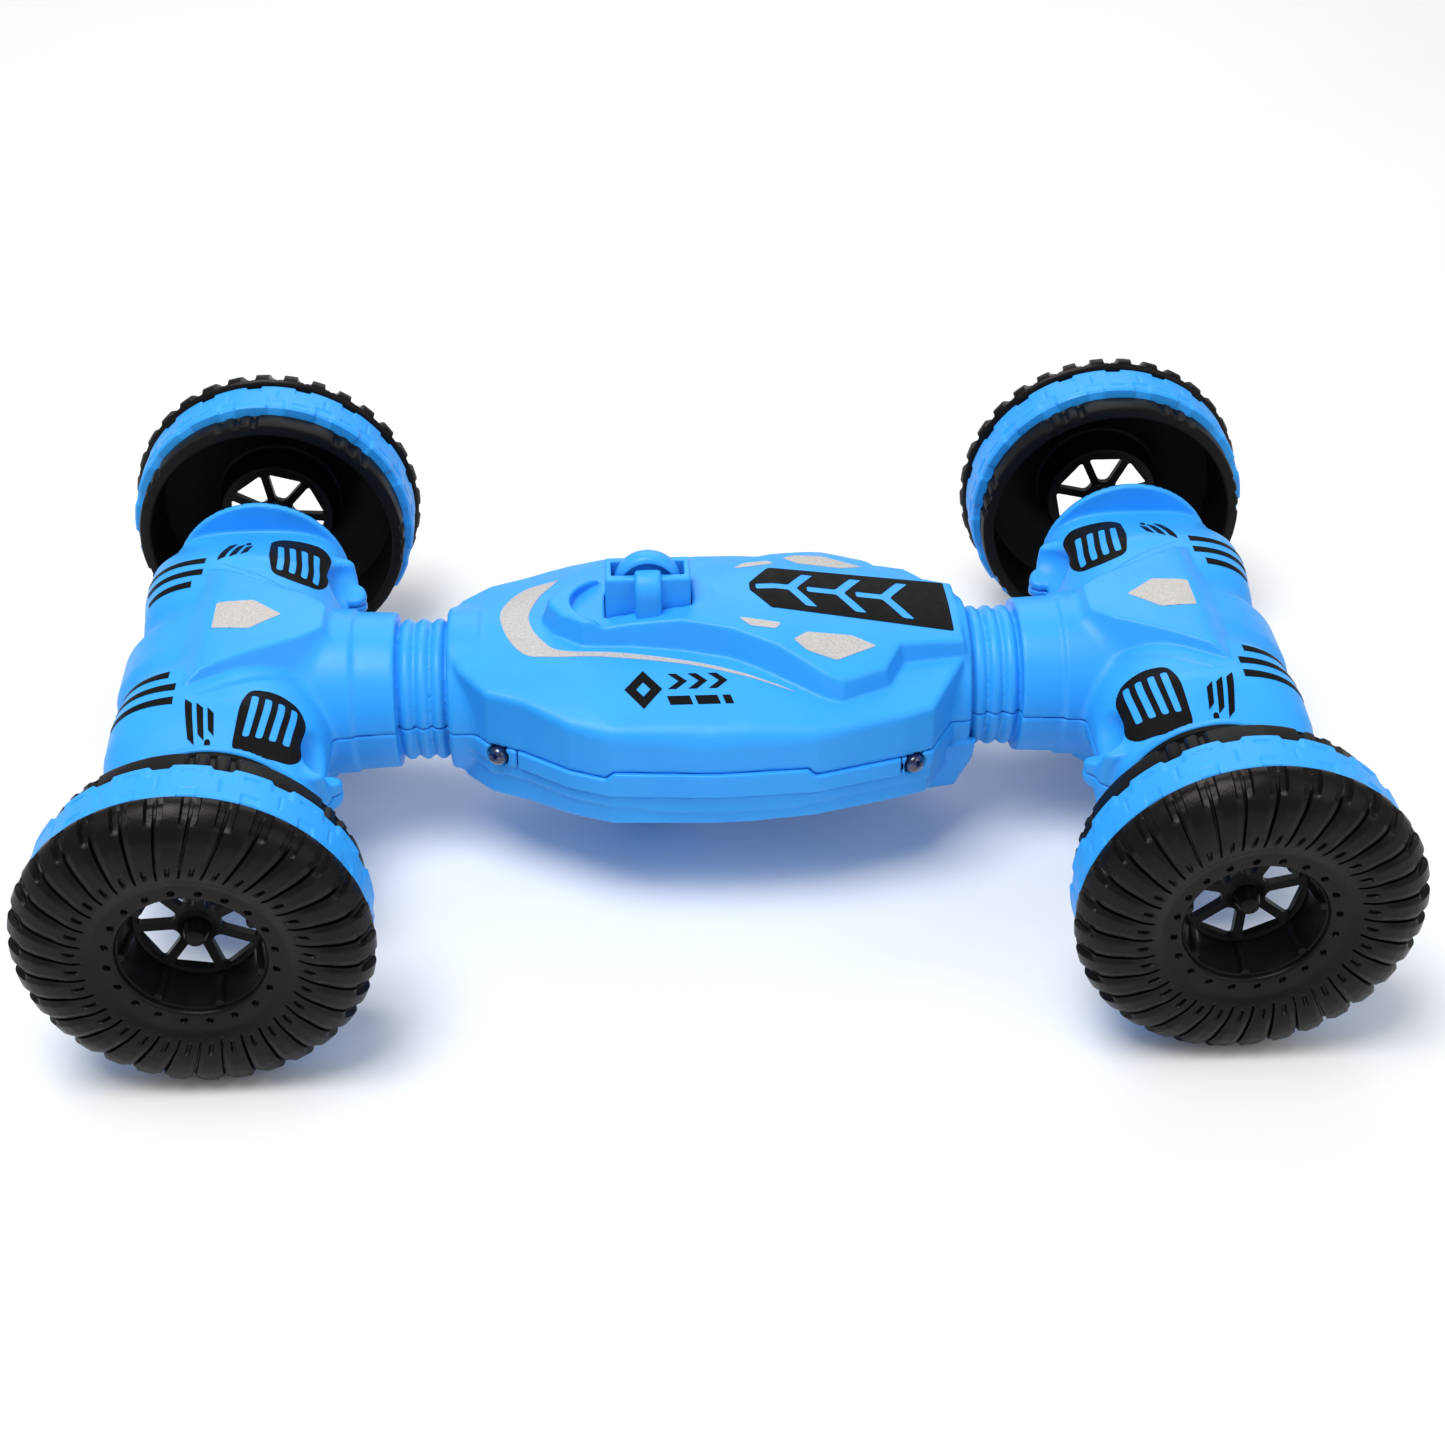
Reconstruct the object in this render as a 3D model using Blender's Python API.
"""Double-sided twisting stunt car, modelled as it comes apart on a bench.

Frame: metres, +Z up, +X from the front end to the rear end, +Y to the car's right-hand side.
The origin is on the twist axis, midway between the two axles, at axle height.
A flat body carries an end unit at each end. Each end unit turns about the twist axis (X) and carries
two wheels on stub axles, each driven by its own motor and a pair of gears.
"""

import math

import bmesh
import bpy
from mathutils import Matrix, Vector

MM = 0.001
GAP = 0.3 * MM
HALF_GAP = 0.15 * MM

# Facets round a circle: wheels, large casings, small bores and pins
WHEEL_SEGMENTS = 16
CASING_SEGMENTS = 16
NECK_SEGMENTS = 12
SMALL_SEGMENTS = 8

# Layout
AXLE_X = 134.0 * MM
WHEEL_Y = 100.0 * MM

# Wheels, with offsets along the axle from the wheel's middle plane, outboard positive
SPOKE_COUNT = 7
SPOKE_WIDTH = 2.4 * MM
WINDOW_INNER = 5.4 * MM
WINDOW_OUTER = 15.4 * MM
AXLE_RADIUS = 1.6 * MM
AXLE_INNER = -56.8 * MM
AXLE_OUTER = 6.2 * MM

# Wheel drive
DRIVE_MODULE = 0.9 * MM
DRIVE_TEETH = 20
PINION_TEETH = 8
DRIVE_CENTRES = DRIVE_MODULE * (DRIVE_TEETH + PINION_TEETH) / 2 + 0.1 * MM
DRIVE_GEAR_Y = (44.5 * MM, 49.0 * MM)
PINION_Y = (43.5 * MM, 50.0 * MM)
MOTOR_Y = (17.0 * MM, 42.0 * MM)
MOTOR_RADIUS = 10.0 * MM
MOTOR_FLAT = 7.5 * MM

# End unit housing
BARREL_RADIUS = 28.5 * MM
BARREL_WALL = 2.4 * MM
FLANGE_RADIUS = 26.5 * MM
FLANGE_Y = 62.8 * MM
COLLAR_RADIUS = 22.4 * MM
BELLOWS_RADIUS = 20.2 * MM
BELLOWS_VALLEY = 18.4 * MM
BELLOWS_PITCH = 4.5 * MM
BELLOWS_START = 46.0 * MM
BELLOWS_END = 64.0 * MM
JOURNAL_RADIUS = 14.0 * MM
JOURNAL_END = 79.2 * MM
NECK_BORE = 10.0 * MM
HUB_LENGTH = 8.0 * MM
WIRE_HOLE_RADIUS = 5.0 * MM
RETAINER_RADIUS = 17.0 * MM
RETAINER_SPAN = (67.8 * MM, 71.0 * MM)
EAR_POINT = (25.0 * MM, 51.0 * MM)
EAR_RADIUS = 4.5 * MM
EAR_HEIGHT = 13.0 * MM

# Twist drive: gears on the twist axis, a layshaft beside it and an idler that reverses the rear end
TWIST_MODULE = 1.25 * MM
TWIST_TEETH = 24
LAY_TEETH = 8
TWIST_GEAR_X = (50.5 * MM, 54.5 * MM)
REAR_LAY_X = (45.5 * MM, 49.5 * MM)
LAY_Y = TWIST_MODULE * (TWIST_TEETH + LAY_TEETH) / 2 + 0.15 * MM
IDLER_CENTRES = TWIST_MODULE * LAY_TEETH + 0.15 * MM
IDLER_ANGLE = -math.acos(1 - IDLER_CENTRES**2 / (2 * LAY_Y**2))
LAY_RADIUS = 1.2 * MM

# Body shells
WALL = 2.2 * MM
BASE_CROWN = 22.8 * MM
BASE_CROWN_END = 18.5 * MM
BASE_CURVE = 3.75
DECK_CROWN = 31.5 * MM
DECK_CROWN_END = 22.5 * MM
DECK_CURVE = 6.3
KEEL_DEPTH = 29.0 * MM
KEEL_FLAT = 20.0 * MM
KEEL_SLOPE = 0.6
DECK_START = 10.0 * MM
POCKET_FLOOR = 69.7 * MM
END_WALLS = {
    "front": (-70.6 * MM, -66.5 * MM, 17.6 * MM, 21.4 * MM),
    "rear": (66.5 * MM, 70.6 * MM, 17.6 * MM, 17.0 * MM),
}
STRIP_DEPTH = 8.0 * MM
STRIP_THICKNESS = 1.6 * MM
STRIP_X = (-54.5 * MM, 52.0 * MM)
SCREW_POINTS = (
    (-38.0 * MM, 30.0 * MM),
    (-38.0 * MM, -30.0 * MM),
    (40.0 * MM, 31.0 * MM),
    (40.0 * MM, -31.0 * MM),
)
SCREW_HOLE_RADIUS = 1.5 * MM
HEAD_HOLE_RADIUS = 3.1 * MM
PILLAR_RADIUS = 4.4 * MM
LED_POINTS = {
    "front_right_led_lens": (-59.8 * MM, 28.5 * MM),
    "front_left_led_lens": (-59.8 * MM, -28.5 * MM),
    "rear_right_led_lens": (55.6 * MM, 37.2 * MM),
    "rear_left_led_lens": (55.6 * MM, -37.2 * MM),
}
LED_RADIUS = 2.9 * MM
LED_HEIGHT = -3.0 * MM
LED_BARREL = 2.6 * MM

# Rollers
ROLLER_X = -17.0 * MM
ROLLER_RADIUS = 9.5 * MM
ROLLER_APEX = 44.4 * MM
ROLLER_WIDTH = 6.0 * MM
BRACKET_LENGTH = 24.0 * MM
BRACKET_WIDTH = 12.0 * MM
BRACKET_TOP = 40.8 * MM
BRACKET_BOTTOM = 23.5 * MM
POST_WIDTH = 8.0 * MM
POST_REACH = 10.5 * MM
PIN_RADIUS = 1.2 * MM
PIN_HALF_LENGTH = 8.5 * MM

# Battery door and power switch, on the flat keel
DOOR_X = (2.0 * MM, 46.0 * MM)
DOOR_HALF_WIDTH = 15.0 * MM
DOOR_THICKNESS = 2.2 * MM
SWITCH_X = -41.5 * MM
SWITCH_TRAVEL = 4.0 * MM
SLOT_HALF_WIDTH = 2.0 * MM
SLOT_END_ROOM = 2.2 * MM

BLUE = (0.055, 0.45, 0.95)
BLACK = (0.012, 0.012, 0.013)
STEEL = (0.60, 0.61, 0.62)
WHITE_NYLON = (0.80, 0.80, 0.76)


def clear_scene():
    for item in list(bpy.data.objects):
        bpy.data.objects.remove(item)


def finish(name, colour, roughness, metallic=0.0):
    """A Principled material that belongs to one sub-part."""
    material = bpy.data.materials.new(name + "_finish")
    material.use_nodes = True
    shader = material.node_tree.nodes["Principled BSDF"]
    shader.inputs["Base Color"].default_value = (*colour, 1.0)
    shader.inputs["Roughness"].default_value = roughness
    shader.inputs["Metallic"].default_value = metallic
    return material


def make_object(name, bm):
    """Closes up a bmesh into an object with its faces pointing outward."""
    bmesh.ops.remove_doubles(bm, verts=bm.verts, dist=0.000001)
    bmesh.ops.recalc_face_normals(bm, faces=bm.faces)
    mesh = bpy.data.meshes.new(name)
    bm.to_mesh(mesh)
    bm.free()
    item = bpy.data.objects.new(name, mesh)
    bpy.context.scene.collection.objects.link(item)
    return item


def complete(item, parent, colour, roughness, metallic=0.0):
    """Gives a finished sub-part its parent, its material and its shading."""
    item.parent = parent
    item.data.materials.clear()
    item.data.materials.append(finish(item.name, colour, roughness, metallic))
    item.data.shade_smooth()
    item.data.set_sharp_from_angle(angle=math.radians(35))
    return item


def make_pivot(name, location, turn=0.0, parent=None):
    """An empty on a joint's axis."""
    pivot = bpy.data.objects.new(name, None)
    pivot.empty_display_size = 0.01
    pivot.location = location
    pivot.rotation_euler = (0.0, 0.0, turn)
    pivot.parent = parent
    bpy.context.scene.collection.objects.link(pivot)
    return pivot


def clear_radius(radius, segments):
    """The corner radius of a many-sided hole in which a many-sided shaft of this radius can turn."""
    return (radius + GAP) / math.cos(math.pi / segments)


def axis_matrix(axis):
    """Turns a shape built along +Z, with its outline in XY, so that it runs along another axis."""
    if axis == "X":
        return Matrix(((0, 0, 1), (1, 0, 0), (0, 1, 0))).to_4x4()
    if axis == "Y":
        return Matrix(((0, 1, 0), (0, 0, 1), (1, 0, 0))).to_4x4()
    return Matrix.Identity(4)


def bridge(bm, low, high):
    """Faces between two rings of vertices, where a ring of one vertex is a point on the axis."""
    count = max(len(low), len(high))
    for i in range(count):
        j = (i + 1) % count
        if len(low) == 1:
            bm.faces.new((low[0], high[i], high[j]))
        elif len(high) == 1:
            bm.faces.new((low[i], low[j], high[0]))
        else:
            bm.faces.new((low[i], low[j], high[j], high[i]))


def lathe(name, profile, segments, axis="Z", closed=False):
    """A turned solid from (radius, height) points. An open profile starts and ends on the axis."""
    bm = bmesh.new()
    rings = []
    for radius, height in profile:
        if radius < 1e-7:
            rings.append([bm.verts.new((0.0, 0.0, height))])
            continue
        angles = [2 * math.pi * k / segments for k in range(segments)]
        rings.append([bm.verts.new((radius * math.cos(a), radius * math.sin(a), height)) for a in angles])
    pairs = list(zip(rings, rings[1:]))
    if closed:
        pairs.append((rings[-1], rings[0]))
    for low, high in pairs:
        bridge(bm, low, high)
    bm.transform(axis_matrix(axis))
    return make_object(name, bm)


def cylinder(name, radius, low, high, segments=SMALL_SEGMENTS, axis="Z", centre=(0.0, 0.0, 0.0)):
    item = lathe(name, [(0, low), (radius, low), (radius, high), (0, high)], segments, axis)
    item.data.transform(Matrix.Translation(centre))
    return item


def prism(name, outline, low, high, axis="Z"):
    """A solid with a flat outline, drawn in the plane across its axis."""
    bm = bmesh.new()
    bottom = [bm.verts.new((x, y, low)) for x, y in outline]
    top = [bm.verts.new((x, y, high)) for x, y in outline]
    bm.faces.new(reversed(bottom))
    bm.faces.new(top)
    bridge(bm, bottom, top)
    bm.transform(axis_matrix(axis))
    return make_object(name, bm)


def box(name, low, high):
    outline = [(low[0], low[1]), (high[0], low[1]), (high[0], high[1]), (low[0], high[1])]
    return prism(name, outline, low[2], high[2])


def loft(name, rings):
    """A solid through rings of points, closed at each end by a fan to its middle."""
    bm = bmesh.new()
    loops = [[bm.verts.new(point) for point in ring] for ring in rings]
    first = bm.verts.new(sum((Vector(p) for p in rings[0]), Vector()) / len(rings[0]))
    last = bm.verts.new(sum((Vector(p) for p in rings[-1]), Vector()) / len(rings[-1]))
    loops = [[first]] + loops + [[last]]
    for low, high in zip(loops, loops[1:]):
        bridge(bm, low, high)
    bmesh.ops.triangulate(bm, faces=bm.faces)
    return make_object(name, bm)


def combine(item, tools, operation):
    """Applies one Boolean of item with all the tools, and removes the tools."""
    group = bpy.data.collections.new("tools")
    for tool in tools:
        group.objects.link(tool)
    modifier = item.modifiers.new("combine", "BOOLEAN")
    modifier.operation = operation
    modifier.solver = "EXACT"
    modifier.operand_type = "COLLECTION"
    modifier.collection = group
    bpy.context.view_layer.update()
    graph = bpy.context.evaluated_depsgraph_get()
    mesh = bpy.data.meshes.new_from_object(item.evaluated_get(graph))
    item.modifiers.clear()
    item.data = mesh
    for tool in tools:
        bpy.data.objects.remove(tool)
    bpy.data.collections.remove(group)
    return item


def cut(item, *tools):
    return combine(item, tools, "DIFFERENCE")


def fuse(item, *tools):
    return combine(item, tools, "UNION")


def copy_of(item, name):
    twin = bpy.data.objects.new(name, item.data.copy())
    bpy.context.scene.collection.objects.link(twin)
    return twin


def inset(outline, distance):
    """The outline moved inward by a distance, for an anticlockwise convex outline."""
    points = [Vector(p) for p in outline]
    moved = []
    for i, point in enumerate(points):
        before = (point - points[i - 1]).normalized()
        after = (points[(i + 1) % len(points)] - point).normalized()
        inward = Vector((-before.y - after.y, before.x + after.x)).normalized()
        half_turn = max(0.5, inward.dot(Vector((-after.y, after.x))))
        moved.append(tuple(point + inward * (distance / half_turn)))
    return moved


def mirrored_outline(half):
    """A closed anticlockwise outline from points on its +Y side, listed from the rear to the front."""
    return [(x * MM, y * MM) for x, y in half] + [(x * MM, -y * MM) for x, y in reversed(half)]


# ---------------------------------------------------------------- gears


def gear_outline(teeth, module, phase):
    """Straight-flanked teeth with a little backlash. A tooth is centred on the phase angle."""
    pitch_radius = teeth * module / 2
    levels = ((-1.15 * module, 1), (0.9 * module, 1), (0.9 * module, -1), (-1.15 * module, -1))
    points = []
    for k in range(teeth):
        middle = phase + 2 * math.pi * k / teeth
        for height, side in levels:
            radius = pitch_radius + height
            half_width = 0.60 * module - height * math.tan(math.radians(20))
            angle = middle - side * half_width / radius
            points.append((radius * math.cos(angle), radius * math.sin(angle)))
    return points


def meshing_phase(teeth, phase, direction, other_teeth):
    """The phase of a gear that meshes with a first one, seen from it in the given direction."""
    fraction = (direction - phase) * teeth / (2 * math.pi)
    return direction + math.pi - (0.5 - fraction) * 2 * math.pi / other_teeth


# ---------------------------------------------------------------- wheels


def make_tyre(name, pivot):
    """The fat outer tyre, seated on the rim's drum and on its dished face."""
    profile = [
        (38.9, 5.4), (43.4, 5.4), (45.4, 7.6), (44.4, 11.2), (40.6, 14.8),
        (33.0, 16.5), (25.0, 15.2), (18.9, 14.0), (18.9, 12.6), (38.9, 6.5),
    ]
    tyre = lathe(name, [(r * MM, h * MM) for r, h in profile], WHEEL_SEGMENTS, "Y", closed=True)
    return complete(tyre, pivot, BLACK, 0.55)


def make_tread_ring(name, pivot):
    profile = [(38.9, -8.4), (43.4, -8.4), (44.0, -7.0), (44.0, 3.8), (43.4, 5.1), (38.9, 5.1)]
    ring = lathe(name, [(r * MM, h * MM) for r, h in profile], WHEEL_SEGMENTS, "Y", closed=True)
    return complete(ring, pivot, BLUE, 0.45)


def make_rim(name, pivot):
    """A deep cup that opens inboard, with a spoked hub at its outer end and a sleeve round the axle."""
    outside = [(0, 7.6), (4.6, 7.6), (4.6, 5.0), (16.0, 5.0), (18.4, 12.2), (38.6, 6.1), (38.6, -8.7),
               (41.4, -8.7), (41.4, -16.4)]
    inside = [(37.6, -16.4), (36.6, 4.3), (19.4, 9.6), (17.4, 2.9), (4.8, 2.9), (4.8, -36.4),
              (1.9, -36.4), (1.9, 6.5), (0, 6.5)]
    rim = lathe(name, [(r * MM, h * MM) for r, h in outside + inside], WHEEL_SEGMENTS, "Y")
    cut(rim, *(make_window_cutter(2 * math.pi * k / SPOKE_COUNT) for k in range(SPOKE_COUNT)))
    return complete(rim, pivot, BLACK, 0.5)


def make_window_cutter(middle):
    outline = []
    for radius, side in ((WINDOW_INNER, -1), (WINDOW_OUTER, -1), (WINDOW_OUTER, 1), (WINDOW_INNER, 1)):
        half_angle = math.pi / SPOKE_COUNT - math.asin(SPOKE_WIDTH / 2 / radius)
        angle = middle + side * half_angle
        outline.append((radius * math.cos(angle), radius * math.sin(angle)))
    return prism("window", outline, 0.0, 8.0 * MM, "Y")


def make_axle(name, pivot):
    axle = cylinder(name, AXLE_RADIUS, AXLE_INNER, AXLE_OUTER, SMALL_SEGMENTS, "Y")
    return complete(axle, pivot, STEEL, 0.3, 1.0)


def make_drive_gear(name, pivot):
    """A spur gear with a bore for the stub axle."""
    outline = gear_outline(DRIVE_TEETH, DRIVE_MODULE, math.pi / 2)
    low, high = (y - WHEEL_Y for y in DRIVE_GEAR_Y)
    gear = prism(name, outline, low, high, "Y")
    cut(gear, cylinder("bore", AXLE_RADIUS + GAP, low - MM, high + MM, SMALL_SEGMENTS, "Y"))
    return complete(gear, pivot, WHITE_NYLON, 0.5)


def make_wheel(prefix, unit, side):
    """The five pieces that turn together. They are built on the +Y side and turned for the other."""
    turn = 0.0 if side > 0 else math.pi
    pivot = make_pivot(prefix + "_wheel_pivot", (0.0, side * WHEEL_Y, 0.0), turn, unit)
    make_tyre(prefix + "_tyre", pivot)
    make_tread_ring(prefix + "_tread_ring", pivot)
    make_rim(prefix + "_rim", pivot)
    make_axle(prefix + "_axle", pivot)
    make_drive_gear(prefix + "_drive_gear", pivot)


# ---------------------------------------------------------------- end units


def make_motor(name, unit, side):
    """A small can motor with flat sides, a stub for its bearing and a blind shaft hole."""
    outline = []
    for k in range(16):
        angle = 2 * math.pi * k / 16
        flat = max(-MOTOR_FLAT, min(MOTOR_FLAT, MOTOR_RADIUS * math.sin(angle)))
        outline.append((MOTOR_RADIUS * math.cos(angle), flat))
    motor = prism(name, outline, MOTOR_Y[0], MOTOR_Y[1], "Y")
    cut(motor, cylinder("shaft_hole", 1.3 * MM, MOTOR_Y[1] - 8 * MM, MOTOR_Y[1] + MM, SMALL_SEGMENTS, "Y"))
    pivot = make_pivot(name + "_seat", (DRIVE_CENTRES, 0.0, 0.0), 0.0, unit)
    if side < 0:
        pivot.rotation_euler = (math.pi, 0.0, 0.0)
    return complete(motor, pivot, STEEL, 0.35, 1.0)


def make_pinion(name, unit, side):
    """The motor's pinion, moulded on its shaft."""
    phase = meshing_phase(DRIVE_TEETH, math.pi / 2, math.pi / 2, PINION_TEETH)
    outline = gear_outline(PINION_TEETH, DRIVE_MODULE, phase)
    pinion = prism(name, outline, PINION_Y[0], PINION_Y[1], "Y")
    fuse(pinion, cylinder("shaft", 1.0 * MM, MOTOR_Y[1] - 7 * MM, PINION_Y[0] + MM, SMALL_SEGMENTS, "Y"))
    pivot = make_pivot(name + "_pivot", (DRIVE_CENTRES, 0.0, 0.0), 0.0, unit)
    if side < 0:
        pivot.rotation_euler = (math.pi, 0.0, 0.0)
    return complete(pinion, pivot, WHITE_NYLON, 0.5)


def barrel_profile():
    """Half of the barrel, from its middle to the flange, as (radius, distance along the axle)."""
    return [
        (BARREL_RADIUS, 6 * MM), (BARREL_RADIUS + MM, 30 * MM), (BARREL_RADIUS, 54 * MM),
        (23.5 * MM, 60.5 * MM), (FLANGE_RADIUS, 60.5 * MM), (FLANGE_RADIUS, FLANGE_Y),
    ]


def make_unit_outside():
    """The T-shaped casing as one solid: barrel, neck, collar, bellows, journal and screw ears."""
    half = barrel_profile()
    mirrored = [(r, -y) for r, y in reversed(half)]
    barrel = lathe("casing", [(0, -FLANGE_Y)] + mirrored + half + [(0, FLANGE_Y)], CASING_SEGMENTS, "Y")
    neck = [(0, 0), (26.5 * MM, 12 * MM), (25 * MM, 26 * MM), (COLLAR_RADIUS + MM, 33 * MM),
            (COLLAR_RADIUS, BELLOWS_START - MM), (BELLOWS_VALLEY, BELLOWS_START)]
    ribs = round((BELLOWS_END - BELLOWS_START) / BELLOWS_PITCH)
    for k in range(ribs):
        middle = BELLOWS_START + (k + 0.5) * BELLOWS_PITCH
        neck.append((BELLOWS_RADIUS, middle))
        neck.append((BELLOWS_VALLEY, middle + BELLOWS_PITCH / 2))
    neck += [(JOURNAL_RADIUS, BELLOWS_END), (JOURNAL_RADIUS, RETAINER_SPAN[0]),
             (RETAINER_RADIUS, RETAINER_SPAN[0]), (RETAINER_RADIUS, RETAINER_SPAN[1]),
             (JOURNAL_RADIUS, RETAINER_SPAN[1]), (JOURNAL_RADIUS, JOURNAL_END), (0, JOURNAL_END)]
    parts = [lathe("neck", neck, NECK_SEGMENTS, "X")]
    for side in (1, -1):
        centre = (EAR_POINT[0], side * EAR_POINT[1], 0.0)
        parts.append(cylinder("ear", EAR_RADIUS, -EAR_HEIGHT, EAR_HEIGHT, SMALL_SEGMENTS, "Z", centre))
    return fuse(barrel, *parts)


def unit_cavity_tools():
    """Cutters for the room that holds the motors and gears, for the wiring bore and the axle holes."""
    inner = BARREL_RADIUS - BARREL_WALL
    half = [(inner, 53 * MM), (21 * MM, 58 * MM), (0, 58 * MM)]
    mirrored = [(r, -y) for r, y in reversed(half)]
    cavity = lathe("cavity", mirrored + half, NECK_SEGMENTS, "Y")
    bore = [(0, 5 * MM), (22 * MM, 18 * MM), (19 * MM, 40 * MM), (NECK_BORE, 52 * MM),
            (NECK_BORE, JOURNAL_END + MM), (0, JOURNAL_END + MM)]
    neck_bore = lathe("neck_bore", bore, NECK_SEGMENTS, "X")
    axle_hole = cylinder("axle_hole", AXLE_RADIUS + GAP, -FLANGE_Y - MM, FLANGE_Y + MM, SMALL_SEGMENTS, "Y")
    return [cavity, neck_bore, axle_hole]


def make_unit_shells(prefix, unit):
    reach = 0.1
    casing = make_unit_outside()
    for name, low, high in (("_upper_housing", -reach, HALF_GAP), ("_lower_housing", -HALF_GAP, reach)):
        other_half = box("other_half", (-reach, -reach, low), (reach, reach, high))
        shell = cut(copy_of(casing, prefix + name), other_half, *unit_cavity_tools())
        complete(shell, unit, BLUE, 0.42)
    bpy.data.objects.remove(casing)


def make_twist_gear(name, unit):
    """The gear that turns the end unit, with a hub that plugs into the neck's bore."""
    low = AXLE_X - TWIST_GEAR_X[1]
    high = AXLE_X - TWIST_GEAR_X[0]
    gear = prism(name, gear_outline(TWIST_TEETH, TWIST_MODULE, 0.0), low, high, "X")
    end = low - HUB_LENGTH
    fuse(gear, cylinder("hub", NECK_BORE - GAP, end, low + MM, NECK_SEGMENTS, "X"))
    cut(gear, cylinder("wire_hole", WIRE_HOLE_RADIUS, end - MM, high + MM, SMALL_SEGMENTS, "X"))
    return complete(gear, unit, WHITE_NYLON, 0.5)


def make_end_unit(prefix, location, turn):
    unit = make_pivot(prefix + "_unit_pivot", (location, 0.0, 0.0), turn)
    make_unit_shells(prefix, unit)
    make_twist_gear(prefix + "_twist_gear", unit)
    for side in (1, -1):
        right = (side > 0) == (turn == 0.0)
        corner = prefix + ("_right" if right else "_left")
        make_motor(corner + "_motor", unit, side)
        make_pinion(corner + "_pinion", unit, side)
        make_wheel(corner, unit, side)


# ---------------------------------------------------------------- body


def body_plan():
    """The body's outline seen from above, anticlockwise."""
    return mirrored_outline([
        (74, 12), (70, 20), (61, 36), (53, 39), (28, 46), (0, 47.5), (-29, 45.5),
        (-40, 41), (-53, 32), (-60, 28.5), (-70, 19), (-74, 7),
    ])


def plateau_plan():
    """The raised deck's outline: narrow beside the rollers and wide behind them."""
    return mirrored_outline([
        (71, 15.5), (53, 19), (47, 30), (35, 38), (12, 20), (-4, 12.5), (-22, 12), (-38, 11), (-47, 4),
    ])


def base_height(x, y):
    fall = max(0.0, min(1.0, (x - 10 * MM) / (64 * MM)))
    return BASE_CROWN + (BASE_CROWN_END - BASE_CROWN) * fall - BASE_CURVE * y * y


def deck_height(x, y):
    fall = max(0.0, (x - 19 * MM) / (51 * MM))
    rise = max(0.0, (-5 * MM - x) / (42 * MM))
    crown = DECK_CROWN + (DECK_CROWN_END - DECK_CROWN) * fall - 2.5 * MM * rise
    return crown - DECK_CURVE * y * y


def keel_height(x, y):
    return KEEL_DEPTH - KEEL_SLOPE * max(0.0, abs(y) - KEEL_FLAT)


def dome(name, outline, start, height, drop=0.0, shares=(1.0, 0.55)):
    """A solid from a start height up to a height field lowered by drop, over an outline."""
    rings = [[(x, y, start) for x, y in outline]]
    for share in shares:
        rings.append([(x * share, y * share, height(x * share, y * share) - drop) for x, y in outline])
    return loft(name, rings)


def neck_openings():
    """Cutters for the pocket that takes the first bellows rib, and for the journal behind it."""
    tools = []
    for side in (1, -1):
        spans = ((BELLOWS_RADIUS, POCKET_FLOOR, 80 * MM), (JOURNAL_RADIUS, 60 * MM, 75 * MM))
        for radius, low, high in spans:
            ends = sorted((side * low, side * high))
            hole = clear_radius(radius, NECK_SEGMENTS)
            tools.append(cylinder("neck_opening", hole, ends[0], ends[1], NECK_SEGMENTS, "X"))
    return tools


def screw_pillar(point):
    """A pillar inside the shell at a case screw, drawn upward."""
    x, y = point
    top = base_height(x, y) - WALL / 2
    return cylinder("pillar", PILLAR_RADIUS, HALF_GAP, top, SMALL_SEGMENTS, "Z", (x, y, 0.0))


def screw_cutters(point, sign):
    """The screw's hole, and below it the counterbore for its head."""
    centre = (*point, 0.0)
    if sign > 0:
        return [cylinder("screw_hole", SCREW_HOLE_RADIUS, -MM, 8 * MM, SMALL_SEGMENTS, "Z", centre)]
    return [
        cylinder("screw_hole", SCREW_HOLE_RADIUS, -9 * MM, MM, SMALL_SEGMENTS, "Z", centre),
        cylinder("counterbore", HEAD_HOLE_RADIUS, -30 * MM, -8 * MM, SMALL_SEGMENTS, "Z", centre),
    ]


def make_half_body(name, deck, sign):
    """One body shell, built upward. The lower one is turned over afterwards."""
    shell = dome(name, body_plan(), HALF_GAP, base_height)
    fuse(shell, dome("deck", plateau_plan(), DECK_START, deck))
    cut(
        shell,
        dome("cavity", inset(body_plan(), WALL), -5 * MM, base_height, WALL),
        dome("deck_cavity", inset(plateau_plan(), 3.0 * MM), DECK_START, deck, WALL, (1.0,)),
    )
    ribs = [screw_pillar((x, sign * y)) for x, y in SCREW_POINTS]
    for low, high, half_width, top in END_WALLS.values():
        ribs.append(box("end_wall", (low, -half_width, HALF_GAP), (high, half_width, top)))
    fuse(shell, *ribs)
    if sign < 0:
        shell.data.transform(Matrix.Rotation(math.pi, 4, "X"))
    return shell


def led_cutter(point):
    """A round hole that points outward from the body at a corner."""
    tool = cylinder("led_hole", LED_RADIUS + GAP, -9 * MM, 9 * MM, SMALL_SEGMENTS, "X")
    place = Matrix.Translation((*point, LED_HEIGHT))
    tool.data.transform(place @ Matrix.Rotation(led_heading(point), 4, "Z"))
    return tool


def led_heading(point):
    x, y = point
    return math.atan2(math.copysign(1.0, y), math.copysign(0.6, x))


def shared_openings(sign):
    """Cutters that both shells need: necks, case screws, lights and the roller bracket."""
    tools = neck_openings()
    for point in SCREW_POINTS:
        tools += screw_cutters(point, sign)
    tools += [led_cutter(point) for point in LED_POINTS.values()]
    half_length = BRACKET_LENGTH / 2 + GAP
    half_width = BRACKET_WIDTH / 2 + GAP
    low, high = sorted((sign * 15 * MM, sign * 45 * MM))
    corner = (ROLLER_X - half_length, -half_width, low)
    tools.append(box("bracket_hole", corner, (ROLLER_X + half_length, half_width, high)))
    return tools


def make_upper_shell():
    shell = make_half_body("body_upper_shell", deck_height, 1)
    cut(shell, *shared_openings(1))
    return complete(shell, None, BLUE, 0.42)


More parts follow.
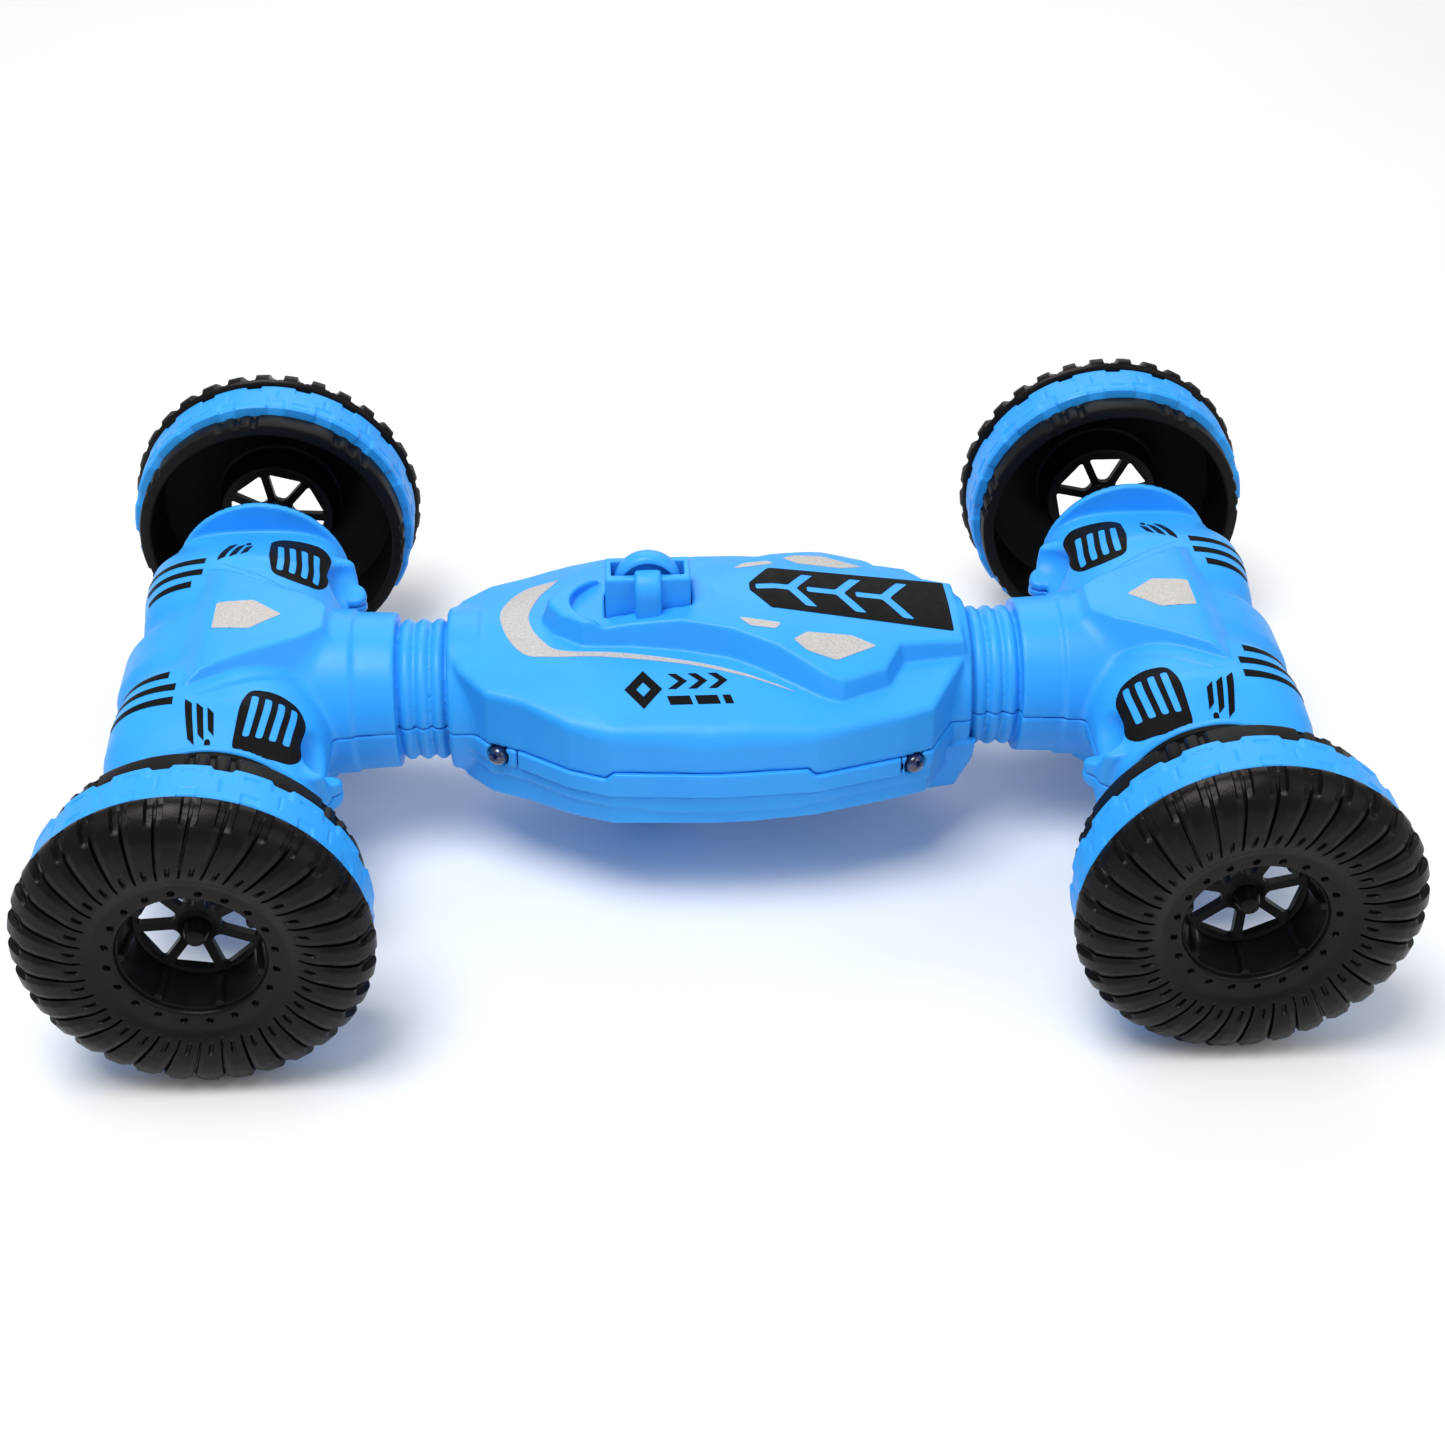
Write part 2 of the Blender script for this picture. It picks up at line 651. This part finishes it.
def make_lower_shell():
    """The lower shell, with its battery hatch, switch slot and the seats for the side strips."""
    shell = make_half_body("body_lower_shell", keel_height, -1)
    reach = DOOR_HALF_WIDTH + GAP
    hatch = box("hatch", (DOOR_X[0] - GAP, -reach, -35 * MM), (DOOR_X[1] + GAP, reach, -15 * MM))
    low = SWITCH_X - SLOT_END_ROOM
    high = SWITCH_X + SWITCH_TRAVEL + SLOT_END_ROOM
    slot = box("slot", (low, -SLOT_HALF_WIDTH, -35 * MM), (high, SLOT_HALF_WIDTH, -15 * MM))
    room = 4 * MM
    plate_room = box("plate_room", (low - room, -room, -26.5 * MM), (high + room, room, -15 * MM))
    cut(shell, *shared_openings(-1), hatch, slot, plate_room, strip_seat(1), strip_seat(-1))
    return complete(shell, None, BLUE, 0.42)


def strip_solid(name, side, outside, inside, bottom, top, ends):
    """A length of the body's wall between the lights, from inset outside to inset inside."""
    strip = prism(name, inset(body_plan(), outside), bottom, top)
    cut(strip, prism("inner", inset(body_plan(), inside), bottom - MM, top + MM))
    low, high = sorted((side * 20 * MM, side * 60 * MM))
    span = box("span", (STRIP_X[0] - ends, low, -20 * MM), (STRIP_X[1] + ends, high, 5 * MM))
    return combine(strip, [span], "INTERSECT")


def strip_seat(side):
    return strip_solid("seat", side, -MM, STRIP_THICKNESS + GAP, -STRIP_DEPTH - GAP, MM, GAP)


def make_side_strip(name, side):
    strip = strip_solid(name, side, 0.0, STRIP_THICKNESS, -STRIP_DEPTH, -HALF_GAP, 0.0)
    return complete(strip, None, BLUE, 0.5)


def make_led_lens(name, point):
    """A clear lens with a domed nose and a straight barrel."""
    r = LED_RADIUS
    profile = [(0, -LED_BARREL), (r, -LED_BARREL), (r, 1.2 * MM), (r * 0.8, 2.4 * MM),
               (r * 0.45, 3.0 * MM), (0, 3.2 * MM)]
    lens = lathe(name, profile, SMALL_SEGMENTS, "X")
    pivot = make_pivot(name + "_seat", (point[0], point[1], LED_HEIGHT), led_heading(point))
    return complete(lens, pivot, (0.01, 0.015, 0.08), 0.1)


def make_bracket(name, sign, post_start):
    """A frame round the roller, with a rounded post on each side that holds the pin."""
    half = BRACKET_LENGTH / 2
    width = BRACKET_WIDTH / 2
    frame = box(name, (-half, -width, BRACKET_BOTTOM), (half, width, BRACKET_TOP))
    slot = box("slot", (-half + 1.8 * MM, -3.6 * MM, 20 * MM), (half - 1.8 * MM, 3.6 * MM, 50 * MM))
    posts = []
    for side in (1, -1):
        low, high = sorted((side * 4 * MM, side * POST_REACH))
        top = BRACKET_TOP - 1.5 * MM
        posts.append(box("post", (-POST_WIDTH / 2, low, post_start), (POST_WIDTH / 2, high, top)))
    fuse(frame, *posts)
    centre = (0.0, 0.0, ROLLER_APEX - ROLLER_RADIUS)
    end = PIN_HALF_LENGTH + GAP
    cut(frame, slot, cylinder("pin_hole", PIN_RADIUS + GAP, -end, end, SMALL_SEGMENTS, "Y", centre))
    pivot = make_pivot(name + "_seat", (ROLLER_X, 0.0, 0.0))
    if sign < 0:
        pivot.rotation_euler = (math.pi, 0.0, 0.0)
    return complete(frame, pivot, BLUE, 0.42)


def make_roller(prefix, sign):
    """A free-turning disc on a plain pin."""
    height = sign * (ROLLER_APEX - ROLLER_RADIUS)
    pivot = make_pivot(prefix + "_roller_pivot", (ROLLER_X, 0.0, height))
    half = ROLLER_WIDTH / 2
    bore = PIN_RADIUS + GAP
    profile = [(bore, -half), (ROLLER_RADIUS - MM, -half), (ROLLER_RADIUS, 1.4 * MM - half),
               (ROLLER_RADIUS, half - 1.4 * MM), (ROLLER_RADIUS - MM, half), (bore, half)]
    complete(lathe(prefix + "_roller", profile, NECK_SEGMENTS, "Y", closed=True), pivot, BLUE, 0.42)
    end = PIN_HALF_LENGTH
    pin = cylinder(prefix + "_roller_pin", PIN_RADIUS, -end, end, SMALL_SEGMENTS, "Y")
    complete(pin, pivot, STEEL, 0.3, 1.0)


def make_case_screws():
    for k, (x, y) in enumerate(SCREW_POINTS):
        profile = [(0, -10.6), (2.0, -10.6), (2.8, -9.6), (2.8, -8.3), (1.2, -8.3), (1.2, 6.0), (0, 7.0)]
        screw = lathe("case_screw_%d" % (k + 1), [(r * MM, h * MM) for r, h in profile], SMALL_SEGMENTS)
        screw.location = (x, y, 0.0)
        complete(screw, None, STEEL, 0.3, 1.0)


def make_battery_door():
    low = -KEEL_DEPTH
    corner = (DOOR_X[0], -DOOR_HALF_WIDTH, low)
    door = box("battery_door", corner, (DOOR_X[1], DOOR_HALF_WIDTH, low + DOOR_THICKNESS))
    centre = (DOOR_X[0] + 5 * MM, 0.0, 0.0)
    head_hole = cylinder("head_hole", 2.6 * MM, low - MM, low + 1.3 * MM, SMALL_SEGMENTS, "Z", centre)
    shank_hole = cylinder("shank_hole", 1.4 * MM, low, low + 5 * MM, SMALL_SEGMENTS, "Z", centre)
    cut(door, head_hole, shank_hole)
    complete(door, None, BLUE, 0.45)
    profile = [(0, 0.1), (2.2, 0.1), (2.2, 1.0), (1.1, 1.0), (1.1, 6.0), (0, 6.6)]
    screw = lathe("battery_door_screw", [(r * MM, h * MM + low) for r, h in profile], SMALL_SEGMENTS)
    screw.location = centre
    complete(screw, None, STEEL, 0.3, 1.0)


def make_battery_pack():
    """Two cells side by side in one sleeve."""
    radius = 6.8 * MM
    middle = 6.6 * MM
    outline = []
    for side in (1, -1):
        for k in range(7):
            angle = math.radians(-90 + 30 * k)
            outline.append((side * (middle + radius * math.cos(angle)), side * radius * math.sin(angle)))
    pack = prism("battery_pack", outline, 14 * MM, 44 * MM, "X")
    pack.location = (0.0, -3 * MM, -9.5 * MM)
    complete(pack, None, (0.05, 0.25, 0.12), 0.5)


def make_circuit_board():
    low = (-42 * MM, -25 * MM, 9 * MM)
    board = box("circuit_board", low, (38 * MM, 12 * MM, 10.6 * MM))
    fuse(board, box("chip", (0, -14 * MM, 10 * MM), (14 * MM, -6 * MM, 12.4 * MM)))
    fuse(board, box("can", (-30 * MM, -22 * MM, 10 * MM), (-18 * MM, -12 * MM, 15 * MM)))
    complete(board, None, (0.02, 0.16, 0.06), 0.4)


def make_twist_motor():
    """A gearmotor whose output shaft is the layshaft."""
    motor = box("twist_motor", (-14 * MM, -6 * MM, -5 * MM), (14 * MM, 6 * MM, 5 * MM))
    cut(motor, cylinder("bore", LAY_RADIUS + GAP, -16 * MM, 16 * MM, SMALL_SEGMENTS, "X"))
    motor.location = (0.0, LAY_Y, 0.0)
    complete(motor, None, STEEL, 0.35, 1.0)


def make_layshaft():
    """The shaft that carries twist drive to both ends, with a pinion near each end."""
    pivot = make_pivot("twist_layshaft_pivot", (0.0, LAY_Y, 0.0))
    shaft = cylinder("twist_layshaft", LAY_RADIUS, -57 * MM, 52 * MM, SMALL_SEGMENTS, "X")
    phase = meshing_phase(TWIST_TEETH, 0.0, 0.0, LAY_TEETH)
    front = gear_outline(LAY_TEETH, TWIST_MODULE, phase)
    fuse(shaft, prism("front_pinion", front, -TWIST_GEAR_X[1], -TWIST_GEAR_X[0], "X"))
    to_idler = idler_centre() - Vector((LAY_Y, 0.0))
    direction = math.atan2(to_idler.y, to_idler.x)
    phase = meshing_phase(LAY_TEETH, idler_phase(), direction + math.pi, LAY_TEETH)
    rear = gear_outline(LAY_TEETH, TWIST_MODULE, phase)
    fuse(shaft, prism("rear_pinion", rear, REAR_LAY_X[0], REAR_LAY_X[1], "X"))
    complete(shaft, pivot, STEEL, 0.35, 1.0)


def idler_centre():
    return Vector((LAY_Y * math.cos(IDLER_ANGLE), LAY_Y * math.sin(IDLER_ANGLE)))


def idler_phase():
    """The rear twist gear is turned half round, so a tooth of it points along -Y and one along +Y."""
    return meshing_phase(TWIST_TEETH, math.pi, IDLER_ANGLE, LAY_TEETH)


def make_idler():
    centre = idler_centre()
    pivot = make_pivot("twist_idler_pivot", (0.0, centre.x, centre.y))
    outline = gear_outline(LAY_TEETH, TWIST_MODULE, idler_phase())
    idler = prism("twist_idler", outline, REAR_LAY_X[0], TWIST_GEAR_X[1], "X")
    ends = (REAR_LAY_X[0] - 3 * MM, TWIST_GEAR_X[1] + 3 * MM)
    fuse(idler, cylinder("stub", LAY_RADIUS, *ends, SMALL_SEGMENTS, "X"))
    complete(idler, pivot, WHITE_NYLON, 0.5)


def make_power_switch():
    """A slide knob that pokes through the slot, with a flat plate behind it."""
    low = -KEEL_DEPTH
    corner = (-1.8 * MM, -1.6 * MM, low - 1.2 * MM)
    knob = box("power_switch", corner, (1.8 * MM, 1.6 * MM, low + 4 * MM))
    plate = box("plate", (-5 * MM, -3.4 * MM, low + 2.8 * MM), (5 * MM, 3.4 * MM, low + 4.4 * MM))
    fuse(knob, plate)
    knob.location = (SWITCH_X, 0.0, 0.0)
    complete(knob, None, BLACK, 0.5)


def make_body():
    make_upper_shell()
    make_lower_shell()
    make_side_strip("right_side_strip", 1)
    make_side_strip("left_side_strip", -1)
    for name, point in LED_POINTS.items():
        make_led_lens(name, point)
    make_bracket("top_roller_bracket", 1, 31.4 * MM)
    make_bracket("bottom_roller_bracket", -1, KEEL_DEPTH + GAP)
    make_roller("top", 1)
    make_roller("bottom", -1)
    make_case_screws()
    make_battery_door()
    make_battery_pack()
    make_circuit_board()
    make_twist_motor()
    make_layshaft()
    make_idler()
    make_power_switch()


clear_scene()
make_body()
make_end_unit("front", -AXLE_X, 0.0)
make_end_unit("rear", AXLE_X, math.pi)
